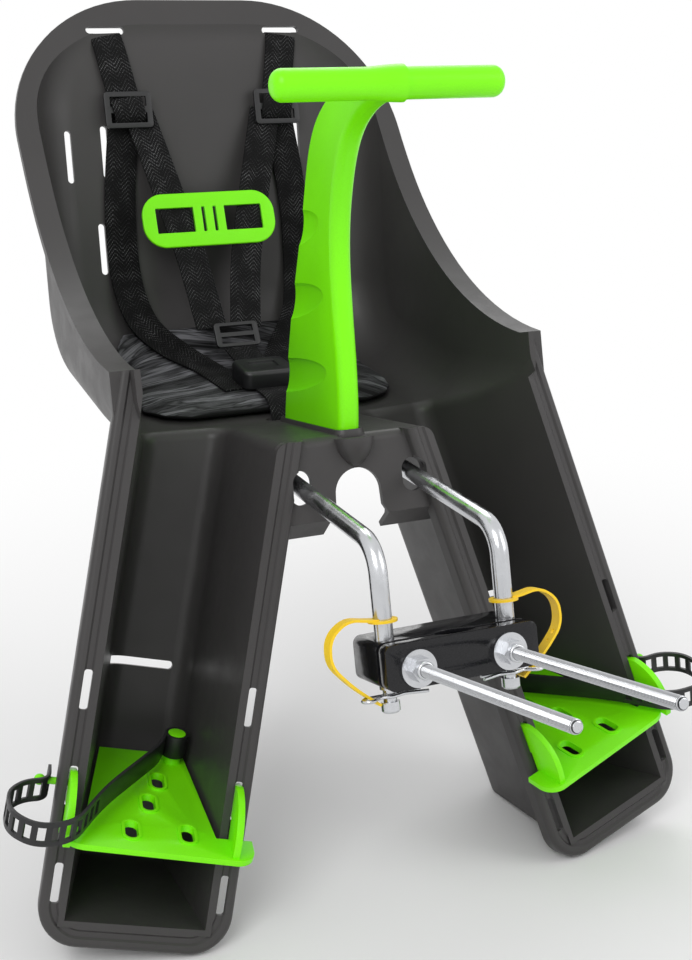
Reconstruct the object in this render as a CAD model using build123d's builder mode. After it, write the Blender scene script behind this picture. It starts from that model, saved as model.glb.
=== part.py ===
"""Front-mounted child's bicycle seat: moulded bucket shell with two leg channels, T-bar
grip, pad, harness, movable footrests and a bolt-on head-tube clamp.

Everything is drawn square to the clamp (x across, y backwards, z up along the carrier
bar's legs, origin midway between the two clamp bolts on the face the washers press on)
and is leaned back with the head tube when it is written.
"""
import os
from math import cos, radians, sin, tan

from build123d import *

# Lean of the head tube that carries the seat, in degrees from upright.
lean = 14.0

# Moulded shell.
wall = 4.0
bowl_half = 139.0          # inside half-width between the wings
bowl_top = 482.0           # inside top of the form whose back runs out into the rim
bowl_corner = 96.0         # inside radius of the form's two top corners
rim_top = 477.0            # top edge of the rim over the backrest
rim_corner = 112.0         # outside radius of the backrest's two top corners
bowl_blend = 38.0          # radius between the sides and the pan or the back
tongue_front = (100.0, 128.0)   # side-view points (y, z) of the inside: tongue, pan, back
pan_front = (255.0, 141.0)
pan_rear = (404.0, 193.0)
back_knee = (379.0, 440.0)
back_top = (397.0, 545.0)
pan_front_round = 90.0
pan_rear_round = 72.0
back_knee_round = 160.0
flange = 17.0              # width of the rim band round the mouth
flange_thick = 4.5
lip = 12.0                 # depth of the rim's turned-back edge
groove = 1.4               # depth of the groove along the rim band
groove_width = 6.0

# Leg channels: across (v), down (u) and back (w) in the splayed channel's own plane.
leg_splay = 15.2
leg_yaw = 8.3
leg_mid = 150.0            # v of the channel's centre line
leg_half = 45.0            # half-width of the mouth
leg_back_half = 28.0       # half-width at the back wall
leg_mouth = 115.3          # w of the mouth
leg_depth = 114.0
leg_floor = 204.0          # u of the floor
leg_floor_rise = 16.0      # draft of the floor towards the back wall
leg_top = -175.0           # u where the channel opens into the bowl
leg_flange = 17.0
leg_corner = 26.0          # outer radius of the rim's bottom corners
leg_back_round = 14.0      # inside radius where the walls meet the back wall
slot_count = 3             # footrest slots down each side of the rim
slot_first = 46.5          # u of the top slot's upper end
slot_pitch = 61.0
slot_length = 25.5
slot_width = 5.5
slot_inset = 8.0           # slot's centre line from the mouth's edge
rim_back = 4.0             # rim band's offset backwards and downwards
rim_down = 4.0
rim_foot = 36.0            # the corner's straight piece down to the leg's rim
rim_round = 4.0            # rounding of the leg rims' outer edges
mouth_flare = 2.0          # flare of the channels' mouths
shoulder_round = 9.0       # rounding from the tongue down into the channels
shoulder_fill = 7.0        # thickening under that rounding
tongue_round = 6.0         # rounding of the tongue's front edge
tongue_gap = 36.0          # half-width of that edge, between the two rims
boss_half = 13.5           # half-round boss on the front plate, under the tongue
boss_deep = 19.0
plate_front = 134.0        # front face of the plate between the legs
plate_half = 62.0

# Carrier bar: a bent rod whose legs stand in the clamp and whose arms run under the pan.
rod = 11.4                 # diameter
rod_half = 40.5            # half the spacing of the two legs
rod_y = 21.0
rod_foot = -28.0           # z of the legs' lower ends
rod_bend = 22.0
arm_hole = 99.5            # z where the arms enter the front plate
arm_length = 205.0         # from the front plate to the bar's cross run
neck = 8.0                 # diameter of the turned neck that the spring clip grips
neck_length = 7.5
neck_z = -17.5
fit = 0.3                  # clearance round pieces that slide or plug together

# Clamp: two pressings drawn together by two long bolts.
clamp_half = 50.0
clamp_low = -11.5
clamp_high = 15.5
sheet = 2.5
bracket_front = 13.0
bracket_back = 47.0
plate_depth = 9.0
tube_notch = 22.0          # radius of the notch that takes the head tube
notch_sink = 5.0
bolt = 8.0
thread = 7.8                # outside of the bolts' threaded ends
shank = 7.2                 # their plain part, rolled to the thread's pitch diameter
bolt_half = 30.0           # half the spacing of the two bolts
bolt_tip = -172.7
hex_flats = 13.0
head_high = 5.3
nut_high = 6.5
nut_collar = 11.0          # round collar on the nut's outer end
collar_high = 3.0
washer = 22.5
washer_thick = 2.0
bolt_room = 0.6            # added to the bolt's diameter for its holes
wire = 2.2
tether = 9.0
tether_thick = 1.6
tether_z = 27.0

# Bar clips under the pan.
clip_at = arm_length - 55.0   # distance of the clips behind the front plate, along the arms
clip_wide = 16.0
clip_thick = 2.0
clip_ear = 20.0
clip_seat = 4.0            # height of the ears' upper face above the arms' axis
screw = 4.0
screw_at = 14.5
screw_long = 9.0
boss = 9.0

# T-bar grip.
grip_y = 28.0
grip_z = 338.0
grip_half = 74.3
grip_radius = 9.5
hub_radius = 11.0
hub_left = 25.0            # the bar swells from here to the seam on its other side
hub_right = 8.0
stem_half = 7.5
stem_round = 5.5
stem_front = 138.0
stem_rear = 245.0
tenon_inset = 2.5
tenon_deep = 20.0
scoop_high = 12.0          # half-height and depth of the finger hollows
scoop_sink = 3.6
socket_rim = 3.5           # width and height of the raised rim round the stem's foot
socket_rise = 3.0

# Pad, footrests and straps.
pad_half = 104.0
pad_thick = 9.0
pad_gap = 0.4
pad_front = 260.0
pad_back = 396.0
pad_corner = 42.0
rest_tilt = 19.0           # slope of the footrest in the channel
rest_slot = 1              # which slot carries the footrest, counted from the top
rest_drop = 10.0           # footrest's surface below that slot
rest_thick = 4.0
rest_lip = 27.0            # reach in front of the channel's rim
rest_depth = 98.0          # reach into the channel
rest_gap = 2.5
rest_inner = 66.0          # reach across, to the inner and the outer side
rest_outer = 57.0
rest_hole = 19.0           # length of the drain holes
rest_bead = 1.2            # raised bead round them
fin_thick = 4.4
ladder = 16.0
ladder_thick = 2.0
rung_count = 16
rung_first = 0.42          # share of the strap's length before its first window
rung_open = 5.0
peg_radius = 6.0
hook_radius = 2.4
hook_reach = 19.0
webbing = 25.0
webbing_thick = 1.6
harness_slot = 5.5
shoulder_x = 73.0
shoulder_z = 452.0
crotch_y = 253.6
slider_wide = 38.0
slider_high = 28.0
slider_thick = 3.0
slider_z = 390.0
chest_z = 301.0
chest_shift = -8.0         # the chest clip lies a little off the middle
chest_wide = 110.0
chest_high = 43.0
chest_thick = 3.0
chest_bend = (364.0, 270.0)   # side-view point where the chest webbing turns to the lap
buckle_wide = 42.0
buckle_long = 36.0
buckle_thick = 13.0


def leg_plane():
    """Plane of the right-hand channel: x across, y down the leg, z backwards."""
    s, c = sin(radians(leg_splay)), cos(radians(leg_splay))
    sy, cy = sin(radians(leg_yaw)), cos(radians(leg_yaw))
    return Plane(origin=(0, 0, 0), x_dir=(c * cy, sy, s * cy), z_dir=(-c * sy, cy, -s * sy))


def front_plane(y):
    """Plane facing forwards at depth y: x across, y upwards."""
    return Plane(origin=(0, y, 0), x_dir=(1, 0, 0), z_dir=(0, -1, 0))


def rim_points(dy=0.0, dz=0.0):
    """Side view of the rim from the corner above the knee up to the top of the back."""
    points = [(146, 187), (201, 206), (250, 236), (293, 277),
              (320, 314), (340, 352), (378, 455), (388, 490)]
    return [(y + dy, z + dz) for y, z in points]


def side_profile(grow):
    """Side view of the bowl's inside, grown outwards by the given amount."""
    with BuildSketch(Plane.YZ) as profile:
        with BuildLine():
            FilletPolyline(tongue_front, pan_front, pan_rear, back_knee, back_top,
                           radius=(pan_front_round, pan_rear_round, back_knee_round))
            Polyline(back_top, (tongue_front[0], back_top[1]), tongue_front)
        make_face()
        if grow:
            offset(amount=grow, kind=Kind.INTERSECTION)
    return profile.sketch_local


def bowl_form(grow):
    """Solid of the bowl's inside, grown outwards by the given amount."""
    half, top = bowl_half + grow, bowl_top + grow
    corner = bowl_corner + grow
    with BuildPart() as form:
        with BuildSketch(front_plane(470)):
            with BuildLine():
                FilletPolyline((-half, 60), (-half, top), (half, top), (half, 60), radius=corner)
                Line((-half, 60), (half, 60))
            make_face()
        extrude(amount=470 - tongue_front[0])
        with BuildSketch(Plane.YZ):
            add(side_profile(grow))
        extrude(amount=half + 20, both=True, mode=Mode.INTERSECT)
        rims = form.edges().filter_by(Axis.X, reverse=True).filter_by(Axis.Y, reverse=True)
        rims = [e for e in rims if e.center().Y > tongue_front[0] + 2]
        fillet(rims, radius=bowl_blend + grow)
    return form.part


def leg_form(grow, ahead):
    """Solid of the right-hand channel's inside, grown outwards, reaching ahead of the mouth."""
    plane = leg_plane()
    with BuildPart() as form:
        for w in (leg_mouth - ahead, leg_mouth + leg_depth + grow):
            part_way = (w - leg_mouth) / leg_depth
            half = leg_half + (leg_back_half - leg_half) * part_way + grow
            floor = leg_floor - leg_floor_rise * part_way + grow
            with BuildSketch(plane.offset(w)):
                with Locations((leg_mid, (leg_top + floor) / 2)):
                    Rectangle(2 * half, floor - leg_top)
        loft()
        back_edges = form.faces().sort_by(Axis((0, 0, 0), plane.z_dir))[-1].edges()
        fillet(back_edges, radius=leg_back_round + grow)
    return form.part


def leg_frame():
    """Rim of the right-hand channel: flange with a groove, turned-back lip and footrest slots."""
    plane = leg_plane()
    reach = leg_half + leg_flange
    bottom = leg_floor + leg_flange
    mid_u = (leg_top + bottom) / 2
    groove_mid = leg_half + slot_inset
    with BuildPart() as frame:
        with BuildSketch(plane.offset(leg_mouth)):
            with Locations((leg_mid, mid_u)):
                RectangleRounded(2 * reach, bottom - leg_top, leg_corner)
        extrude(amount=lip)
        fillet(frame.faces().sort_by(Axis((0, 0, 0), plane.z_dir))[0].edges(), radius=rim_round)
        with BuildSketch(plane.offset(leg_mouth + flange_thick)):
            with Locations((leg_mid, mid_u - wall / 2)):
                RectangleRounded(2 * (reach - wall), bottom - leg_top - wall, leg_corner - wall)
        extrude(amount=lip, mode=Mode.SUBTRACT)
        with BuildSketch(plane.offset(leg_mouth)):
            with Locations((leg_mid, (leg_top + leg_floor) / 2)):
                RectangleRounded(2 * leg_half, leg_floor - leg_top, leg_back_round)
        extrude(amount=lip, mode=Mode.SUBTRACT)
        with BuildSketch(plane.offset(leg_mouth)):
            with Locations((leg_mid, (leg_top + leg_floor) / 2)):
                RectangleRounded(2 * (leg_half + mouth_flare), leg_floor - leg_top + 2 * mouth_flare,
                                 leg_back_round + mouth_flare)
        extrude(amount=mouth_flare, taper=45, mode=Mode.SUBTRACT)
        with BuildSketch(plane.offset(leg_mouth)):
            groove_bottom = leg_floor + slot_inset
            with Locations((leg_mid, (leg_top + groove_bottom) / 2)):
                RectangleRounded(2 * groove_mid + groove_width, groove_bottom - leg_top + groove_width,
                                 leg_corner - wall)
                RectangleRounded(2 * groove_mid - groove_width, groove_bottom - leg_top - groove_width,
                                 leg_corner - wall - groove_width, mode=Mode.SUBTRACT)
        extrude(amount=groove, taper=45, mode=Mode.SUBTRACT)
        with BuildSketch(plane.offset(leg_mouth)):
            for side in (-1, 1):
                for i in range(slot_count):
                    slot_u = slot_first + i * slot_pitch + slot_length / 2
                    with Locations((leg_mid + side * groove_mid, slot_u)):
                        RectangleRounded(slot_width, slot_length, slot_width * 0.35)
        extrude(amount=lip, mode=Mode.SUBTRACT)
    return frame.part


def above_rim():
    """Everything in front of and above the rim's side view."""
    with BuildPart() as cutter:
        with BuildSketch(Plane.YZ):
            with BuildLine():
                rim = Spline(*rim_points())
                Polyline(rim @ 1, (rim @ 1 + Vector(0, 120)), (0, 610), (0, 187), rim @ 0)
            make_face()
        extrude(amount=400, both=True)
    return cutter.part


def wing_rim():
    """Plate along both wings and over the backrest's top, still to be opened by the bowl."""
    half = bowl_half + flange
    low = rim_points()[0][1] - rim_foot
    with BuildPart() as band:
        with BuildSketch(front_plane(back_top[0])):
            with BuildLine():
                FilletPolyline((-half, low), (-half, rim_top), (half, rim_top), (half, low),
                               radius=rim_corner)
                Line((-half, low), (half, low))
            make_face()
        extrude(amount=back_top[0])
        with BuildSketch(Plane.YZ):
            with BuildLine():
                front = Spline(*rim_points())
                rear = Spline(*rim_points(rim_back, -rim_down))
                foot = Vector(0, -rim_foot)
                Polyline(front @ 0, front @ 0 + foot, rear @ 0 + foot, rear @ 0)
                Line(front @ 1, rear @ 1)
            make_face()
        extrude(amount=half, both=True, mode=Mode.INTERSECT)
    return band.part


def arm_plane(s):
    """Plane across the arms at distance s behind the front plate: x across, y up off the arms."""
    c, d = cos(radians(lean)), sin(radians(lean))
    return Plane(origin=(0, plate_front + s * c, arm_hole + s * d), x_dir=(1, 0, 0), z_dir=(0, -c, -d))


def tongue_z(y):
    """Height of the tongue's upper face."""
    (y0, z0), (y1, z1) = tongue_front, pan_front
    return z0 + (y - y0) * (z1 - z0) / (y1 - y0)


def tongue_plane(y):
    """Plane on the tongue's upper face, at depth y."""
    run = Vector(0, pan_front[0] - tongue_front[0], pan_front[1] - tongue_front[1])
    return Plane(origin=(0, y, tongue_z(y)), x_dir=(1, 0, 0), z_dir=Vector(1, 0, 0).cross(run))


def soft_route(points):
    """Route along the points, its corners rounded as far as their runs allow."""
    points = [Vector(*p) for p in points]
    radii = []
    for before, here, after in zip(points, points[1:], points[2:]):
        shorter = min((here - before).length, (after - here).length)
        radii.append(0.45 * shorter / tan(radians((here - before).get_angle(after - here) / 2)))
    return FilletPolyline(*points, radius=radii)


def rest_plane():
    """Plane of the right-hand footrest: x across, y backwards, z up."""
    c, d = cos(radians(rest_tilt)), sin(radians(rest_tilt))
    u = slot_first + rest_slot * slot_pitch + slot_length + rest_drop
    leg = leg_plane()
    back = leg.z_dir * c - leg.y_dir * d
    return Plane(origin=leg.from_local_coords(Vector(leg_mid, u, leg_mouth)), x_dir=leg.x_dir,
                 z_dir=leg.x_dir.cross(back))


def flat_run(start, end, width=webbing):
    """Straight piece of webbing between two points, its ends level with the x axis."""
    start, end = Vector(*start), Vector(*end)
    rise = Vector(0, end.Y - start.Y, end.Z - start.Z)
    plane = Plane(origin=start, x_dir=(1, 0, 0), z_dir=Vector(1, 0, 0).cross(rise))
    shift = end.X - start.X
    half = width / 2 * (Vector(shift, rise.length).length / rise.length)
    with BuildPart() as run:
        with BuildSketch(plane):
            with BuildLine():
                Polyline((-half, 0), (half, 0), (shift + half, rise.length), (shift - half, rise.length),
                         close=True)
            make_face()
        extrude(amount=webbing_thick / 2, both=True)
    return run.part


def back_y(z):
    """Depth of the backrest's inside at height z, below its upper bend."""
    (y0, z0), (y1, z1) = pan_rear, back_knee
    return y0 + (z - z0) * (y1 - y0) / (z1 - z0)


def pan_plane(s, up):
    """Plane parallel to the pan, s behind its front end and a height above it."""
    run = Vector(0, pan_rear[0] - pan_front[0], pan_rear[1] - pan_front[1]).normalized()
    upward = Vector(1, 0, 0).cross(run)
    return Plane(origin=Vector(0, *pan_front) + run * s + upward * up, x_dir=(1, 0, 0), z_dir=upward)


def mirrored(piece):
    """Same piece on the other side."""
    return mirror(piece, about=Plane.YZ, mode=Mode.PRIVATE)


# Moulded shell: bowl, leg channels, rims and front plate in one wall.
with BuildPart() as seat_shell:
    add(bowl_form(wall))
    add(above_rim(), mode=Mode.SUBTRACT)
    with BuildSketch(Plane.YZ):
        with Locations((plate_front / 2, 100)):
            Rectangle(plate_front, 200)
    extrude(amount=300, both=True, mode=Mode.SUBTRACT)
    right_leg = leg_form(wall, 0)
    add(right_leg)
    add(mirrored(right_leg))
    with BuildSketch(Plane.YZ):
        with BuildLine():
            top = tongue_z(plate_front)
            Polyline((plate_front, 76), (plate_front, top), (plate_front + wall, top),
                     (plate_front + wall, 78), (plate_front + 20, 68), (plate_front + 18, 65), close=True)
        make_face()
    extrude(amount=plate_half, both=True)
    # Rounding of the tongue's front edge between the two rims.
    with BuildSketch(Plane.YZ):
        with BuildLine():
            bend_start = (plate_front, top - tongue_round)
            bend_end = (plate_front + tongue_round, tongue_z(plate_front + tongue_round))
            TangentArc(bend_start, bend_end, tangent=(0, 1))
            Polyline(bend_end, (bend_end[0], top + wall), (plate_front - wall, top + wall),
                     (plate_front - wall, top - tongue_round), bend_start)
        make_face()
    extrude(amount=tongue_gap, both=True, mode=Mode.SUBTRACT)
    # Half-round boss below the grip's socket, and the socket's walls under the tongue.
    crown = top - wall / 2
    with BuildSketch(front_plane(plate_front)):
        with BuildLine():
            ThreePointArc((boss_half, crown), (0.8 * boss_half, crown - 0.55 * boss_deep),
                          (0.2 * boss_half, crown - boss_deep))
            Polyline((0.2 * boss_half, crown - boss_deep), (0, crown - boss_deep), (0, crown),
                     (boss_half, crown))
        make_face()
    revolve(axis=Axis((0, plate_front, 0), (0, 0, 1)))
    socket_half = stem_half - tenon_inset + fit + wall
    socket_front = stem_front + tenon_inset - fit - wall
    socket_rear = stem_rear - tenon_inset + fit + wall
    with BuildSketch(Plane.XY.offset(tongue_z(stem_front) - tenon_deep)):
        with Locations((0, (socket_front + socket_rear) / 2)):
            Rectangle(2 * socket_half, socket_rear - socket_front)
    extrude(amount=tenon_deep)
    # Thickening under the tongue's two shoulders.
    with BuildPart(mode=Mode.PRIVATE) as fill:
        add(leg_form(shoulder_fill, 0))
        with BuildSketch(Plane.YZ):
            with BuildLine():
                Polyline((plate_front, tongue_z(plate_front)), (stem_rear, tongue_z(stem_rear)),
                         (stem_rear, tongue_z(stem_rear) - shoulder_fill),
                         (plate_front, tongue_z(plate_front) - shoulder_fill), close=True)
            make_face()
        extrude(amount=plate_half + 2 * shoulder_fill, mode=Mode.INTERSECT)
    add(fill.part)
    add(mirrored(fill.part))
    # Bosses that the bar clips screw to.
    with BuildSketch(arm_plane(clip_at)):
        for side in (-1, 1):
            for reach in (-screw_at, screw_at):
                with Locations((side * rod_half + reach, clip_seat + boss)):
                    Rectangle(boss, 2 * boss)
    extrude(amount=clip_wide / 2, both=True)
    frame = leg_frame()
    add(frame)
    add(mirrored(frame))
    add(wing_rim())
    add(bowl_form(0.0), mode=Mode.SUBTRACT)
    right_inside = leg_form(0.0, 12)
    add(right_inside, mode=Mode.SUBTRACT)
    add(mirrored(right_inside), mode=Mode.SUBTRACT)
    add(above_rim(), mode=Mode.SUBTRACT)
    # Rounded shoulders of the tongue.
    ridge = [e for e in seat_shell.edges() if abs(e.center().Z - tongue_z(e.center().Y)) < fit
             and plate_front + fit < e.center().Y < stem_rear and e.length > plate_half]
    fillet([e for e in ridge if abs(e.center().X) > plate_half / 2], radius=shoulder_round)
    # Raised rim round the stem's foot, and the socket for its tenon.
    stem_long = stem_rear - stem_front
    with BuildSketch(tongue_plane((stem_front + stem_rear) / 2)) as collar:
        RectangleRounded(2 * (stem_half + socket_rim), stem_long + 2 * socket_rim, stem_half)
        RectangleRounded(2 * (stem_half + fit), stem_long + 4 * fit, stem_round, mode=Mode.SUBTRACT)
    extrude(amount=-wall)
    extrude(collar.sketch, amount=socket_rise, taper=20)
    with BuildSketch(Plane.XY.offset(tongue_z(stem_front) - tenon_deep)):
        with Locations((0, (stem_front + stem_rear) / 2)):
            Rectangle(2 * (stem_half - tenon_inset + fit), stem_rear - stem_front - 2 * (tenon_inset - fit))
    extrude(amount=3 * tenon_deep, mode=Mode.SUBTRACT)
    # Oval holes for the carrier bar and the open keyhole between them.
    with BuildSketch(front_plane(plate_front)):
        with Locations((-rod_half, arm_hole), (rod_half, arm_hole)):
            SlotOverall(2 * rod, rod + 4, rotation=90)
        with BuildLine():
            Polyline((-16.5, 92), (-17, 82), (-21, 75), (-21, 55), (21, 55), (21, 75), (17, 82), (16.5, 92))
            ThreePointArc((16.5, 92), (0, 108.5), (-16.5, 92))
        make_face()
    extrude(amount=24, both=True, mode=Mode.SUBTRACT)
    # Harness slots through the back.
    with BuildSketch(front_plane(pan_rear[0] + 3 * wall)):
        for side in (-1, 1):
            with Locations((side * 110, 357), (side * 81, 360), (side * 89, 285)):
                SlotOverall(40, harness_slot, rotation=90)
            with Locations((side * shoulder_x, shoulder_z)):
                SlotOverall(webbing + 6, harness_slot)
    extrude(amount=20 * wall, mode=Mode.SUBTRACT)
    # Slot for the crotch strap in front of the pad.
    with BuildSketch(Plane.XY.offset(pan_front[1])):
        with Locations((0, crotch_y)):
            SlotOverall(webbing + 9, 9)
    extrude(amount=20, both=True, mode=Mode.SUBTRACT)
    # Slot through each channel's back wall.
    with BuildSketch(leg_plane().offset(leg_mouth + leg_depth)):
        with Locations((leg_mid + 8, 52.6)):
            SlotOverall(49, 6)
    slot_cut = extrude(amount=2 * wall, both=True, mode=Mode.PRIVATE)
    add(slot_cut, mode=Mode.SUBTRACT)
    add(mirrored(slot_cut), mode=Mode.SUBTRACT)
    # Screw holes in the bosses.
    with BuildSketch(arm_plane(clip_at).rotated((-90, 0, 0)).offset(clip_seat)):
        for side in (-1, 1):
            for reach in (-screw_at, screw_at):
                with Locations((side * rod_half + reach, 0)):
                    Circle(screw / 2 + 0.1)
    extrude(amount=screw_long - clip_thick, mode=Mode.SUBTRACT)

# Carrier bar: one bent rod, both legs ending in a necked head.
with BuildPart() as support_bar:
    c, d = cos(radians(lean)), sin(radians(lean))
    arm_y, arm_z = plate_front + arm_length * c, arm_hole + arm_length * d
    corner_z = arm_hole - (plate_front - rod_y) * d / c
    with BuildLine() as route:
        FilletPolyline((-rod_half, rod_y, rod_foot), (-rod_half, rod_y, corner_z), (-rod_half, arm_y, arm_z),
                       (rod_half, arm_y, arm_z), (rod_half, rod_y, corner_z), (rod_half, rod_y, rod_foot),
                       radius=rod_bend)
    with BuildSketch(Plane(origin=route.line @ 0, z_dir=route.line % 0)):
        Circle(rod / 2)
    sweep()
    chamfer(support_bar.edges().filter_by(GeomType.CIRCLE).group_by(Axis.Z)[0], length=1.2)
    for side in (-1, 1):
        with BuildSketch(Plane.XY.offset(neck_z - neck_length / 2)):
            with Locations((side * rod_half, rod_y)):
                Circle(rod)
                Circle(neck / 2, mode=Mode.SUBTRACT)
        extrude(amount=neck_length, mode=Mode.SUBTRACT)
        with BuildSketch(Plane.YZ.offset(side * rod_half)):
            with Locations((rod_y, neck_z)):
                Circle(wire / 2 + 0.2)
        extrude(amount=rod, both=True, mode=Mode.SUBTRACT)

# Saddle clip round one arm, and its screw.
with BuildPart() as bar_clip:
    with BuildSketch(arm_plane(clip_at)):
        inner = rod / 2 + 0.2
        with Locations((rod_half, 0)):
            Circle(inner + clip_thick)
        with Locations((rod_half, clip_seat - (clip_seat + clip_thick) / 2)):
            Rectangle(2 * (inner + clip_thick), clip_seat + clip_thick)
        with Locations((rod_half, clip_seat - clip_thick / 2)):
            Rectangle(2 * clip_ear, clip_thick)
        with Locations((rod_half, clip_seat + rod / 2)):
            Rectangle(2 * (inner + clip_thick), rod, mode=Mode.SUBTRACT)
        with Locations((rod_half, 0)):
            Circle(inner, mode=Mode.SUBTRACT)
        with Locations((rod_half, rod / 2)):
            Rectangle(2 * inner, rod, mode=Mode.SUBTRACT)
    extrude(amount=clip_wide / 2, both=True)
    with BuildSketch(arm_plane(clip_at).rotated((-90, 0, 0)).offset(clip_seat)):
        with Locations((rod_half - screw_at, 0), (rod_half + screw_at, 0)):
            Circle(screw / 2 + 0.2)
    extrude(amount=-2 * clip_thick, mode=Mode.SUBTRACT)

def clip_screw(x):
    """Round-headed screw of a bar clip, at the given distance across."""
    seat = arm_plane(clip_at).rotated((-90, 0, 0)).offset(clip_seat - clip_thick)
    with BuildPart() as fastener:
        with BuildSketch(seat):
            with Locations((x, 0)):
                Circle(screw / 2)
        extrude(amount=screw_long)
        with BuildSketch(seat):
            with Locations((x, 0)):
                Circle(screw)
        extrude(amount=-0.6 * screw)
        fillet(fastener.edges().filter_by(GeomType.CIRCLE).sort_by(Axis.Z)[0], radius=0.35 * screw)
    return fastener.part


# Rear pressing: a box open to the front, carried on the bar's legs.
with BuildPart() as rear_bracket:
    mid_z = (clamp_low + clamp_high) / 2
    with BuildSketch(front_plane(bracket_back)):
        with Locations((0, mid_z)):
            RectangleRounded(2 * clamp_half, clamp_high - clamp_low, 2 * sheet)
    extrude(amount=bracket_back - bracket_front)
    with BuildSketch(front_plane(bracket_back - sheet)):
        with Locations((0, mid_z)):
            RectangleRounded(2 * (clamp_half - sheet), clamp_high - clamp_low - 2 * sheet, sheet)
    extrude(amount=bracket_back - bracket_front, mode=Mode.SUBTRACT)
    with BuildSketch(Plane.XY.offset(2 * clamp_low)):
        with Locations((0, bracket_front + notch_sink - tube_notch)):
            Circle(tube_notch)
        with Locations((-rod_half, rod_y), (rod_half, rod_y)):
            Circle(rod / 2 + fit)
    extrude(amount=4 * clamp_high, mode=Mode.SUBTRACT)
    with BuildSketch(front_plane(bracket_back)):
        with Locations((-bolt_half, 0), (bolt_half, 0)):
            Circle((bolt + bolt_room) / 2)
    extrude(amount=2 * sheet, both=True, mode=Mode.SUBTRACT)

# Front pressing: a shallow channel that the nuts draw back.
with BuildPart() as clamp_plate:
    with BuildSketch(front_plane(plate_depth)):
        with Locations((0, mid_z)):
            RectangleRounded(2 * clamp_half, clamp_high - clamp_low, 2 * sheet)
    extrude(amount=plate_depth)
    with BuildSketch(front_plane(plate_depth)):
        with Locations((0, mid_z)):
            RectangleRounded(2 * (clamp_half - sheet), clamp_high - clamp_low - 2 * sheet, sheet)
    extrude(amount=plate_depth - sheet, mode=Mode.SUBTRACT)
    with BuildSketch(Plane.XY.offset(2 * clamp_low)):
        with Locations((0, plate_depth - notch_sink + tube_notch)):
            Circle(tube_notch)
    extrude(amount=4 * clamp_high, mode=Mode.SUBTRACT)
    with BuildSketch(front_plane(0)):
        with Locations((-bolt_half, 0), (bolt_half, 0)):
            Circle((bolt + bolt_room) / 2)
    extrude(amount=-2 * sheet, mode=Mode.SUBTRACT)

# One long bolt with its washer and nut.
thread_start = -washer_thick - nut_high - collar_high - fit
with BuildPart() as clamp_bolt:
    with BuildSketch(front_plane(bracket_back + head_high)):
        with Locations((bolt_half, 0)):
            RegularPolygon(hex_flats / 2, 6, major_radius=False)
    extrude(amount=head_high)
    with BuildSketch(front_plane(bracket_back)):
        with Locations((bolt_half, 0)):
            Circle(shank / 2)
    extrude(amount=bracket_back - thread_start)
    with BuildSketch(front_plane(thread_start)):
        with Locations((bolt_half, 0)):
            Circle(thread / 2)
    extrude(amount=thread_start - bolt_tip)
    chamfer(clamp_bolt.edges().filter_by(GeomType.CIRCLE).sort_by(Axis.Y)[0], length=1.2)

with BuildPart() as clamp_washer:
    with BuildSketch(front_plane(0)):
        with Locations((bolt_half, 0)):
            Circle(washer / 2)
            Circle((bolt + bolt_room) / 2, mode=Mode.SUBTRACT)
    extrude(amount=washer_thick)

with BuildPart() as clamp_nut:
    with BuildSketch(front_plane(-washer_thick)):
        with Locations((bolt_half, 0)):
            RegularPolygon(hex_flats / 2, 6, major_radius=False)
    extrude(amount=nut_high)
    with BuildSketch(front_plane(-washer_thick)):
        with Locations((bolt_half, 0)):
            Circle(0.56 * hex_flats)
    extrude(amount=nut_high, taper=-30, mode=Mode.INTERSECT)
    with BuildSketch(front_plane(-washer_thick - nut_high)):
        with Locations((bolt_half, 0)):
            Circle(nut_collar / 2)
    extrude(amount=collar_high)
    fillet(clamp_nut.edges().filter_by(GeomType.CIRCLE).sort_by(Axis.Y)[0], radius=0.4 * collar_high)
    with BuildSketch(front_plane(-washer_thick)):
        with Locations((bolt_half, 0)):
            Circle(bolt / 2 + 0.1)
    extrude(amount=nut_high + collar_high, mode=Mode.SUBTRACT)

# Spring clip through the neck of the bar's leg.
with BuildPart() as spring_clip:
    points = [(-20, 0), (15.5, 0), (21, -5), (15.5, -10.5), (8, -3), (0, -6.3), (-8, -3), (-22, -8)]
    with BuildLine() as bend:
        FilletPolyline(*[(rod_half + x, rod_y + y, neck_z) for x, y in points],
                       radius=(3.5, 4, 3.5, 3, 7, 7))
    with BuildSketch(Plane(origin=bend.line @ 0, z_dir=bend.line % 0)):
        Circle(wire / 2)
    sweep()

# Elastic tether that keeps the spring clip on the bar's leg.
with BuildPart() as clip_tether:
    points = [(33, tether_z), (49, tether_z + 1), (64, 31), (76, 22), (77, 6), (64, -9), (48, neck_z - 4.5)]
    with BuildSketch(Plane.XZ.offset(-rod_y)):
        with BuildLine() as loop:
            soft_route(points)
        trace(line_width=tether_thick)
    extrude(amount=tether / 2, both=True)
    with Locations((rod_half, rod_y, tether_z)):
        Cylinder(radius=tether, height=tether_thick)
    with Locations((rod_half, rod_y, tether_z)):
        Cylinder(radius=rod / 2 + 0.2, height=rod, mode=Mode.SUBTRACT)
    for share in (0.42, 0.5, 0.58, 0.66, 0.74):
        spot = loop.line @ share
        along = loop.line % share
        facing = (-along.Z, 0, along.X)
        with BuildSketch(Plane(origin=(spot.X, rod_y, spot.Z), x_dir=(0, 1, 0), z_dir=facing)):
            Circle(0.7 * wire)
        extrude(amount=2 * tether_thick, both=True, mode=Mode.SUBTRACT)
    with BuildSketch(Plane.YZ):
        with Locations((rod_y, neck_z)):
            Circle(wire / 2 + 0.4)
    extrude(amount=2 * rod_half, mode=Mode.SUBTRACT)

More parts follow.
